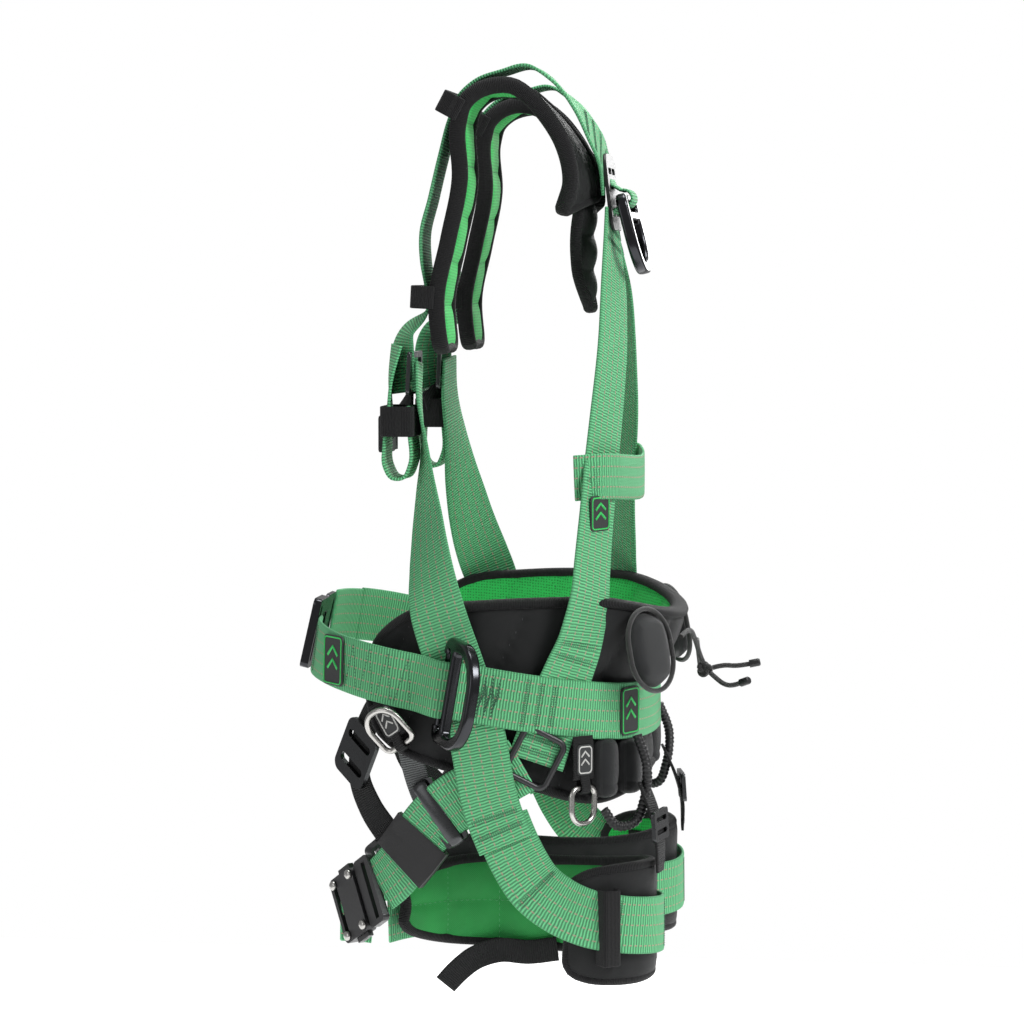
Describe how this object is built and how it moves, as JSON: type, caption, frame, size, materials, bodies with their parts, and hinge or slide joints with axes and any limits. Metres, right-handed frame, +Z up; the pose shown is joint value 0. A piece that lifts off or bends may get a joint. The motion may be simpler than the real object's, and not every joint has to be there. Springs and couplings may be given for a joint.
{
  "type": "tree climbing saddle",
  "caption": "Full-body tree climbing saddle: padded waist belt, padded shoulder straps and leg loops, forged side and back rings, buckles and gear loops.",
  "frame": {"origin": "where a hanger's bar carries the two shoulder pads: midway between them, on the underside of their highest point", "axes": "+Z up as it hangs, the wearer faces -Y, +X is the wearer's left"},
  "size_m": [0.4142, 0.376, 0.7461],
  "materials": {
    "green_webbing": "ribbed webbing with lengthwise marker stitches",
    "black_webbing": "narrow black webbing",
    "pad_shell": "quilted black outer fabric with bound edges",
    "green_mesh": "stitched spacer mesh",
    "elastic_cord": "woven sleeve over elastic",
    "dark_steel": "black chrome",
    "steel": "satin steel",
    "black_steel": "black coated steel",
    "black_plastic": "moulded nylon",
    "rubber_label": "moulded patch with a raised border",
    "black_elastic": "elastic band"
  },
  "bodies": {
    "harness": {"back_cross_strap": "black_webbing", "back_pad_lining": "green_mesh", "back_pad_shell": "pad_shell", "back_straps": "green_webbing", "belt_webbing": "green_webbing", "chest_buckle_socket": "black_plastic", "chest_straps": "black_webbing", "closure_frame": "steel", "cord_cap_long": "black_plastic", "cord_cap_short": "black_plastic", "cord_knot": "elastic_cord", "cord_tail_long": "elastic_cord", "cord_tail_short": "elastic_cord", "corner_rolls": "pad_shell", "dorsal_plate": "black_plastic", "dorsal_ring_strap": "green_webbing", "front_straps": "green_webbing", "gear_loops": "black_webbing", "hip_buckles": "black_steel", "hip_slides": "steel", "hip_straps": "green_webbing", "labels": "rubber_label", "leg_buckle_tongues": "black_steel", "leg_linings": "green_mesh", "leg_pad_left": "pad_shell", "leg_pad_right": "pad_shell", "leg_pad_tail": "black_webbing", "leg_straps": "green_webbing", "link_slides": "dark_steel", "link_straps": "black_webbing", "pocket_cords": "elastic_cord", "pocket_pads": "pad_shell", "ring_tabs": "black_webbing", "shoulder_adjusters": "steel", "shoulder_linings": "green_mesh", "shoulder_pad_left": "pad_shell", "shoulder_pad_right": "pad_shell", "shoulder_straps": "green_webbing", "stowed_tails": "green_webbing", "strap_keepers": "black_elastic", "strap_sleeves": "black_plastic", "yoke_pad": "pad_shell"},
    "closure_tongue": {"closure_tongue": "steel"},
    "dorsal_d_ring": {"dorsal_d_ring": "dark_steel"},
    "chest_buckle_plug": {"chest_buckle_plug": "black_plastic"},
    "side_d_ring_left": {"side_d_ring_left": "dark_steel"},
    "rear_gear_ring_left": {"rear_gear_ring_left": "steel"},
    "front_gear_ring_left": {"front_gear_ring_left": "steel"},
    "leg_buckle_upper_lever_left": {"leg_buckle_upper_lever_left": "black_steel"},
    "leg_buckle_lower_lever_left": {"leg_buckle_lower_lever_left": "black_steel"},
    "leg_buckle_body_left": {"leg_buckle_body_left": "black_steel", "leg_strap_end_left": "green_webbing"},
    "side_d_ring_right": {"side_d_ring_right": "dark_steel"},
    "rear_gear_ring_right": {"rear_gear_ring_right": "steel"},
    "front_gear_ring_right": {"front_gear_ring_right": "steel"},
    "leg_buckle_upper_lever_right": {"leg_buckle_upper_lever_right": "black_steel"},
    "leg_buckle_lower_lever_right": {"leg_buckle_lower_lever_right": "black_steel"},
    "leg_buckle_body_right": {"leg_buckle_body_right": "black_steel", "leg_strap_end_right": "green_webbing"}
  },
  "joints": [
    {"name": "closure_pull", "type": "slide", "parent": "harness", "child": "closure_tongue", "axis": [-1, 0, 0], "range_m": [0, 0.025]},
    {"name": "chest_buckle_pull", "type": "slide", "parent": "harness", "child": "chest_buckle_plug", "axis": [-1, 0, 0], "range_m": [0, 0.022]},
    {"name": "dorsal_ring_swing", "type": "hinge", "parent": "harness", "child": "dorsal_d_ring", "pos_m": [0, 0.073, -0.083], "axis": [1, 0, 0], "range_deg": [0, 150]},
    {"name": "side_ring_swing_left", "type": "hinge", "parent": "harness", "child": "side_d_ring_left", "pos_m": [0.1515, -0.052, -0.46562], "axis": [0, 0.1676, 0.9859], "range_deg": [-37, 28]},
    {"name": "side_ring_swing_right", "type": "hinge", "parent": "harness", "child": "side_d_ring_right", "pos_m": [-0.1515, -0.052, -0.46562], "axis": [0, -0.1676, -0.9859], "range_deg": [-37, 28]},
    {"name": "rear_gear_ring_swing_left", "type": "hinge", "parent": "harness", "child": "rear_gear_ring_left", "pos_m": [0.12731, 0.05409, -0.5447], "axis": [0.7877, -0.6154, 0.0277], "range_deg": [0, 110]},
    {"name": "rear_gear_ring_swing_right", "type": "hinge", "parent": "harness", "child": "rear_gear_ring_right", "pos_m": [-0.12731, 0.05409, -0.5447], "axis": [0.7877, 0.6154, -0.0277], "range_deg": [0, 110]},
    {"name": "front_gear_ring_swing_left", "type": "hinge", "parent": "harness", "child": "front_gear_ring_left", "pos_m": [0.14194, -0.08716, -0.51141], "axis": [-0.426, -0.7378, -0.5236], "range_deg": [-140, 0]},
    {"name": "front_gear_ring_swing_right", "type": "hinge", "parent": "harness", "child": "front_gear_ring_right", "pos_m": [-0.14194, -0.08716, -0.51141], "axis": [-0.426, 0.7378, 0.5236], "range_deg": [-140, 0]},
    {"name": "leg_buckle_pull_left", "type": "slide", "parent": "harness", "child": "leg_buckle_body_left", "axis": [-0.6334, -0.5906, -0.5], "range_m": [0, 0.025]},
    {"name": "upper_lever_squeeze_left", "type": "slide", "parent": "leg_buckle_body_left", "child": "leg_buckle_upper_lever_left", "axis": [0.3657, 0.341, -0.866], "range_m": [0, 0.003], "stiffness_N_per_m": 800},
    {"name": "lower_lever_squeeze_left", "type": "slide", "parent": "leg_buckle_body_left", "child": "leg_buckle_lower_lever_left", "axis": [-0.3657, -0.341, 0.866], "range_m": [0, 0.003], "stiffness_N_per_m": 800},
    {"name": "leg_buckle_pull_right", "type": "slide", "parent": "harness", "child": "leg_buckle_body_right", "axis": [0.6334, -0.5906, -0.5], "range_m": [0, 0.025]},
    {"name": "upper_lever_squeeze_right", "type": "slide", "parent": "leg_buckle_body_right", "child": "leg_buckle_upper_lever_right", "axis": [-0.3657, 0.341, -0.866], "range_m": [0, 0.003], "stiffness_N_per_m": 800},
    {"name": "lower_lever_squeeze_right", "type": "slide", "parent": "leg_buckle_body_right", "child": "leg_buckle_lower_lever_right", "axis": [0.3657, -0.341, 0.866], "range_m": [0, 0.003], "stiffness_N_per_m": 800}
  ]
}
